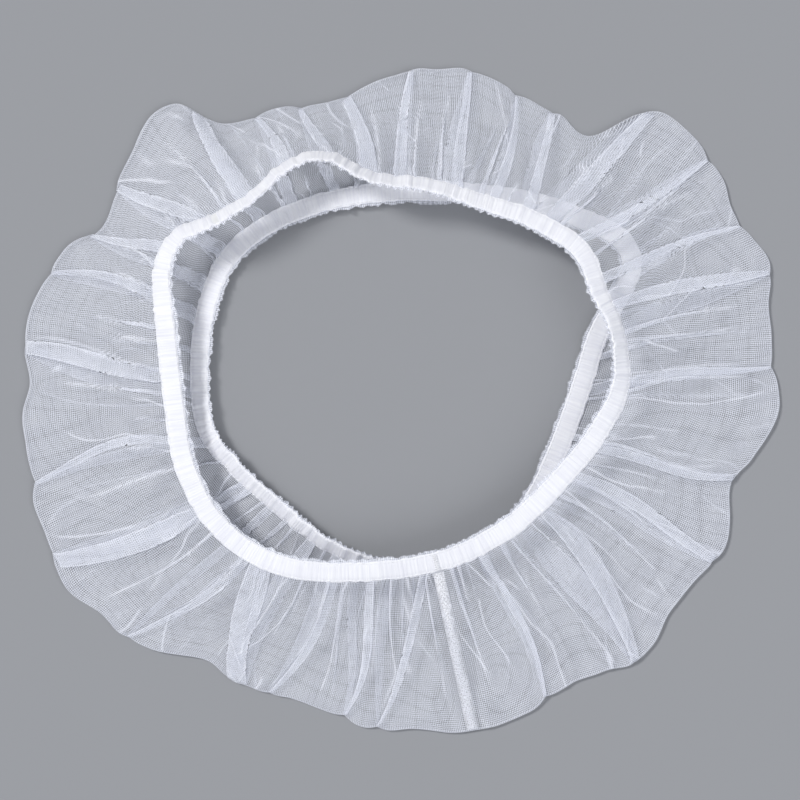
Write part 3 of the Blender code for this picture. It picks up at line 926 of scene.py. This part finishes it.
class Nodes:
    """A short way to write a material's node tree."""

    def __init__(self, name):
        self.material = bpy.data.materials.new(name)
        self.material.use_nodes = True
        self.tree = self.material.node_tree
        self.shader = self.tree.nodes["Principled BSDF"]

    def set(self, **values):
        """Uniform values for the shader: sheen_weight is its socket Sheen Weight, and so on."""
        for name, value in values.items():
            socket = name.replace("_", " ").title().replace("Ior", "IOR")
            self.shader.inputs[socket].default_value = value

    def feed(self, socket, source):
        self.link(source, self.shader.inputs[socket])

    def add(self, kind, **settings):
        node = self.tree.nodes.new(kind)
        for key, value in settings.items():
            setattr(node, key, value)
        return node

    def link(self, source, target):
        self.tree.links.new(source, target)

    def math(self, operation, *inputs, clamp=False):
        node = self.add("ShaderNodeMath", operation=operation, use_clamp=clamp)
        for socket, value in zip(node.inputs, inputs):
            if isinstance(value, (int, float)):
                socket.default_value = value
            else:
                self.link(value, socket)
        return node.outputs[0]

    def noise(self, vector, scale, detail=2.0, roughness=0.5):
        node = self.add("ShaderNodeTexNoise")
        node.inputs["Scale"].default_value = scale
        node.inputs["Detail"].default_value = detail
        node.inputs["Roughness"].default_value = roughness
        if vector is not None:
            self.link(vector, node.inputs["Vector"])
        return node.outputs["Fac"]

    def remap(self, value, low, high, to_low, to_high):
        node = self.add("ShaderNodeMapRange")
        self.link(value, node.inputs["Value"])
        limits = zip(("From Min", "From Max", "To Min", "To Max"), (low, high, to_low, to_high))
        for name, limit in limits:
            node.inputs[name].default_value = limit
        return node.outputs["Result"]

    def two_colours(self, factor, first, second):
        node = self.add("ShaderNodeMix", data_type="RGBA")
        node.inputs["A"].default_value = (*first, 1)
        node.inputs["B"].default_value = (*second, 1)
        for socket in node.inputs:
            if socket.name == "Factor" and socket.type == "VALUE":
                self.link(factor, socket)
                break
        return [socket for socket in node.outputs if socket.type == "RGBA"][0]

    def bump(self, height, strength, distance):
        node = self.add("ShaderNodeBump")
        node.inputs["Strength"].default_value = strength
        node.inputs["Distance"].default_value = distance
        self.link(height, node.inputs["Height"])
        self.feed("Normal", node.outputs["Normal"])

    def object_place(self):
        return self.add("ShaderNodeTexCoord").outputs["Object"]


THREAD_PITCH = 1.6 * MM  # of the net
NET_THREADS = 0.12  # share of the pitch that a thread covers
NET_HAZE = 0.07
FRILL_THREADS = 0.26
FRILL_HAZE = 0.35
THREAD_SOFTNESS = 0.04
CREASE_DENSITY = 0.95
SOFT_CREASE_WIDTH = 0.06  # in the crumple field's own measure
SOFT_CREASE_DENSITY = 0.5


def woven_cover(n, axes_from, pitch, thread_share):
    """How much of the surface two crossing sets of threads cover: 1 on a thread, 0 in a hole."""
    split = n.add("ShaderNodeSeparateXYZ")
    n.link(axes_from, split.inputs[0])
    threads = []
    for axis in ("X", "Y"):
        place = n.math("MULTIPLY", split.outputs[axis], 1 / pitch)
        offset = n.math("ABSOLUTE", n.math("SUBTRACT", n.math("FRACT", place), 0.5))
        edge = thread_share / 2
        threads.append(n.remap(offset, edge, edge + THREAD_SOFTNESS, 1.0, 0.0))
    return n.math("MAXIMUM", threads[0], threads[1])


def net_material(name, thread_share, haze, creased):
    """Sheer nylon net: fine threads with open holes between, denser where it is folded sharply."""
    n = Nodes(name)
    uv = n.add("ShaderNodeUVMap", uv_map="cloth")
    threads = woven_cover(n, uv.outputs["UV"], THREAD_PITCH, thread_share)
    uneven = n.noise(n.object_place(), 70.0, 3.0)
    cover = n.math("ADD", threads, n.remap(uneven, 0.3, 0.7, haze * 0.5, haze * 1.5), clamp=True)
    if creased:
        crease = n.add("ShaderNodeAttribute", attribute_name="crease").outputs["Fac"]
        cover = n.math("ADD", cover, n.math("MULTIPLY", crease, CREASE_DENSITY), clamp=True)
        field = n.add("ShaderNodeAttribute", attribute_name="crumple").outputs["Fac"]
        line = n.remap(n.math("ABSOLUTE", field), 0.0, SOFT_CREASE_WIDTH, SOFT_CREASE_DENSITY, 0.0)
        strength = n.add("ShaderNodeAttribute", attribute_name="crumple_strength").outputs["Fac"]
        cover = n.math("ADD", cover, n.math("MULTIPLY", line, strength), clamp=True)
    n.feed("Alpha", cover)
    n.feed("Base Color", n.two_colours(uneven, (0.84, 0.86, 0.95), (0.92, 0.94, 1.0)))
    n.feed("Roughness", n.remap(uneven, 0.2, 0.8, 0.35, 0.55))
    n.set(sheen_weight=0.5, sheen_roughness=0.4, specular_ior_level=0.45)
    n.bump(threads, 0.5, 0.15 * MM)
    return n.material


def cloth_material(name, dark, light, grain, bump_height):
    """White gathered cloth: fine woven grain, soft blotches of tone, matte."""
    n = Nodes(name)
    place = n.object_place()
    blotches = n.noise(place, 55.0, 4.0)
    fine = n.noise(place, grain, 2.0, 0.6)
    tone = n.remap(blotches, 0.3, 0.7, 0.0, 1.0)
    n.feed("Base Color", n.two_colours(tone, dark, light))
    n.feed("Roughness", n.remap(fine, 0.3, 0.7, 0.65, 0.85))
    n.set(sheen_weight=0.3, specular_ior_level=0.25)
    n.bump(n.math("ADD", fine, n.math("MULTIPLY", blotches, 0.5)), 0.6, bump_height)
    return n.material


def casing_material():
    """The double net over white elastic: gathers across the band, and the elastic's lines along it. Its
    colour carries painted shade, darker in the gathers' troughs and lighter on their crests, mixed with
    blotches of random tone.
    """
    n = Nodes("gathered_casing")
    uv = n.add("ShaderNodeUVMap", uv_map="cloth")
    stretch = n.add("ShaderNodeMapping")
    stretch.inputs["Scale"].default_value = (520.0, 35.0, 1.0)
    n.link(uv.outputs["UV"], stretch.inputs["Vector"])
    gathers = n.noise(stretch.outputs["Vector"], 1.0, 3.0, 0.6)
    place = n.object_place()
    grain = n.noise(place, 2600.0, 2.0, 0.6)
    blotches = n.noise(place, 40.0, 3.0)
    # painted shade: the gathers' relief also darkens the colour in their troughs and lightens it on their
    # crests; the blotches add random tone
    tone = n.math("ADD", n.math("MULTIPLY", gathers, 0.7), n.math("MULTIPLY", blotches, 0.3))
    tone = n.remap(tone, 0.36, 0.6, 0.0, 1.0)
    n.feed("Base Color", n.two_colours(tone, (0.85, 0.85, 0.91), (0.97, 0.97, 1.0)))
    n.feed("Roughness", n.remap(grain, 0.3, 0.7, 0.6, 0.8))
    n.set(sheen_weight=0.3, specular_ior_level=0.25)
    n.bump(n.math("ADD", gathers, n.math("MULTIPLY", grain, 0.25)), 0.9, 0.5 * MM)
    return n.material


def seam_material():
    """The net's raw edges, laid together and half hidden by thread: mottled, not quite closed."""
    n = Nodes("overlocked_net_edge")
    place = n.object_place()
    mottle = n.noise(place, 900.0, 3.0, 0.6)
    tone = n.noise(place, 120.0, 2.0)
    n.feed("Alpha", n.remap(mottle, 0.38, 0.56, 0.45, 1.0))
    n.feed("Base Color", n.two_colours(tone, (0.84, 0.85, 0.90), (0.95, 0.95, 0.98)))
    n.feed("Roughness", n.remap(mottle, 0.3, 0.7, 0.5, 0.75))
    n.set(sheen_weight=0.3)
    n.bump(mottle, 0.7, 0.3 * MM)
    return n.material


def make_materials():
    return {
        "net": net_material("sheer_nylon_net", NET_THREADS, NET_HAZE, creased=True),
        "frill": net_material("gathered_net_edge", FRILL_THREADS, FRILL_HAZE, creased=False),
        "casing": casing_material(),
        "seam": seam_material(),
        "elastic": cloth_material("woven_elastic", (0.82, 0.82, 0.83), (0.93, 0.93, 0.93), 3400, 0.3 * MM),
        "thread": cloth_material("sewing_thread", (0.90, 0.90, 0.93), (0.98, 0.98, 1.0), 5000, 0.1 * MM),
    }


# ---- stage, lights, camera

FLOOR_COLOUR = (0.32, 0.325, 0.34, 1)
FLOOR_HALF = 40.0  # wide enough that no view sees its edge near the object


def make_stage():
    floor = Nodes("floor")
    floor.set(base_color=FLOOR_COLOUR, roughness=0.9, specular_ior_level=0.1)
    corners = FLOOR_HALF * np.array([(-1, -1, 0), (1, -1, 0), (1, 1, 0), (-1, 1, 0)])
    obj = mesh_object("floor", corners, np.array([[0, 1, 2, 3]]), floor.material)


def soft_sun(name, towards, spread, strength, colour):
    """Even, soft light from one side. Spread is how wide the source looks, in degrees."""
    data = bpy.data.lights.new(name, "SUN")
    data.energy = strength
    data.angle = math.radians(spread)
    data.color = colour
    obj = bpy.data.objects.new(name, data)
    obj.location = towards
    obj.rotation_euler = Vector(towards).to_track_quat("Z", "Y").to_euler()
    bpy.context.scene.collection.objects.link(obj)


def make_lights():
    soft_sun("key", (-1.05, 0.7, 1.2), spread=14, strength=1.95, colour=(1.0, 1.0, 1.0))
    soft_sun("fill", (1.1, -0.9, 1.3), spread=50, strength=1.1, colour=(0.93, 0.95, 1.0))
    world = bpy.data.worlds.new("studio")
    world.use_nodes = True
    background = world.node_tree.nodes["Background"]
    background.inputs["Color"].default_value = (0.92, 0.95, 1.0, 1)
    background.inputs["Strength"].default_value = 0.42
    bpy.context.scene.world = world


CAMERA_LENS = 85.0
SENSOR = 36.0
VIEW_WIDTH = 0.64  # of the table, edge to edge of the picture
SEEN_THROUGH = 48  # layers of net that a line of sight may pass


def make_camera():
    scene = bpy.context.scene
    data = bpy.data.cameras.new("camera")
    data.lens = CAMERA_LENS
    data.sensor_width = SENSOR
    obj = bpy.data.objects.new("camera", data)
    obj.location = (0, 0, VIEW_WIDTH * CAMERA_LENS / SENSOR)
    scene.collection.objects.link(obj)
    scene.camera = obj
    scene.view_settings.view_transform = "Standard"
    scene.cycles.transparent_max_bounces = SEEN_THROUGH


# ---- the whole


make_camera()
make_lights()
make_stage()
materials = make_materials()
top_band = Band(TOP_BAND_ROUTE, rests_on_table=False)
bottom_band = Band(BOTTOM_BAND_ROUTE, rests_on_table=True)
net = Net(top_band, bottom_band)
net_piece = make_net(net, materials["net"])
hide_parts("net_sleeve")
seam_run = SeamRun(net)
seam_piece = make_seam_strip(seam_run, materials["seam"])
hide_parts("side_seam")
overlock_piece = make_overlock(seam_run, materials["thread"])
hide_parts("side_seam_overlock")
for piece in (net_piece, seam_piece, overlock_piece):
    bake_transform(piece)
hems = dress_band("top", top_band, materials, 40) + dress_band("bottom", bottom_band, materials, 60)
for side in ("top", "bottom"):
    elastic = bpy.data.objects[f"{side}_elastic"]
    elastic.data.materials.clear()
    elastic.data.materials.append(materials["elastic"])
